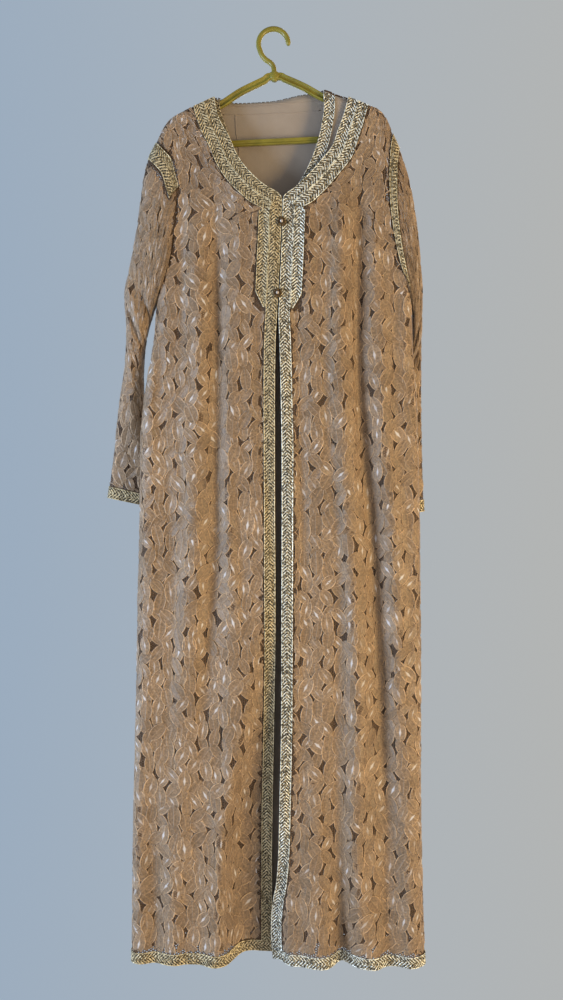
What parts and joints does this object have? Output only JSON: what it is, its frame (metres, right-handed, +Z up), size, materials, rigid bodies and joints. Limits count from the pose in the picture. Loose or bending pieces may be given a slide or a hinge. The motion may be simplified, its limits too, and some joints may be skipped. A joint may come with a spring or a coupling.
{
  "type": "kaftan on hanger",
  "caption": "Floor-length open-front lace kaftan with woven braid edges and long sleeves, hung on a moulded hanger.",
  "frame": {"origin": "the seat of the hanger's hook, where a nail or rail carries it", "axes": "+Z up, the garment's front faces -Y, +X to the viewer's right (the wearer's left)"},
  "size_m": [0.5668, 0.0874, 1.6371],
  "materials": {
    "lace": "satin-leaf lace over net",
    "lining": "plain matt lining",
    "braid": "woven metallic-thread braid",
    "bronze": "dark bronze with a pearl",
    "plastic": "semi-gloss moulded"
  },
  "bodies": {
    "root": {"front_right": "lace", "front_left": "lace", "back": "lace", "sleeve_right": "lace", "sleeve_left": "lace", "lining_front_right": "lining", "lining_front_left": "lining", "lining_back": "lining", "edge_braid_right": "braid", "edge_braid_left": "braid", "neck_band_right": "braid", "neck_band_left": "braid", "lining_braid_right": "braid", "lining_braid_left": "braid", "hem_braid_front_right": "braid", "hem_braid_front_left": "braid", "hem_braid_back": "braid", "cuff_braid_right": "braid", "cuff_braid_left": "braid", "shoulder_braid_right": "braid", "shoulder_braid_left": "braid", "button_top": "bronze", "button_bottom": "bronze", "hanger": "plastic"}
  },
  "joints": []
}
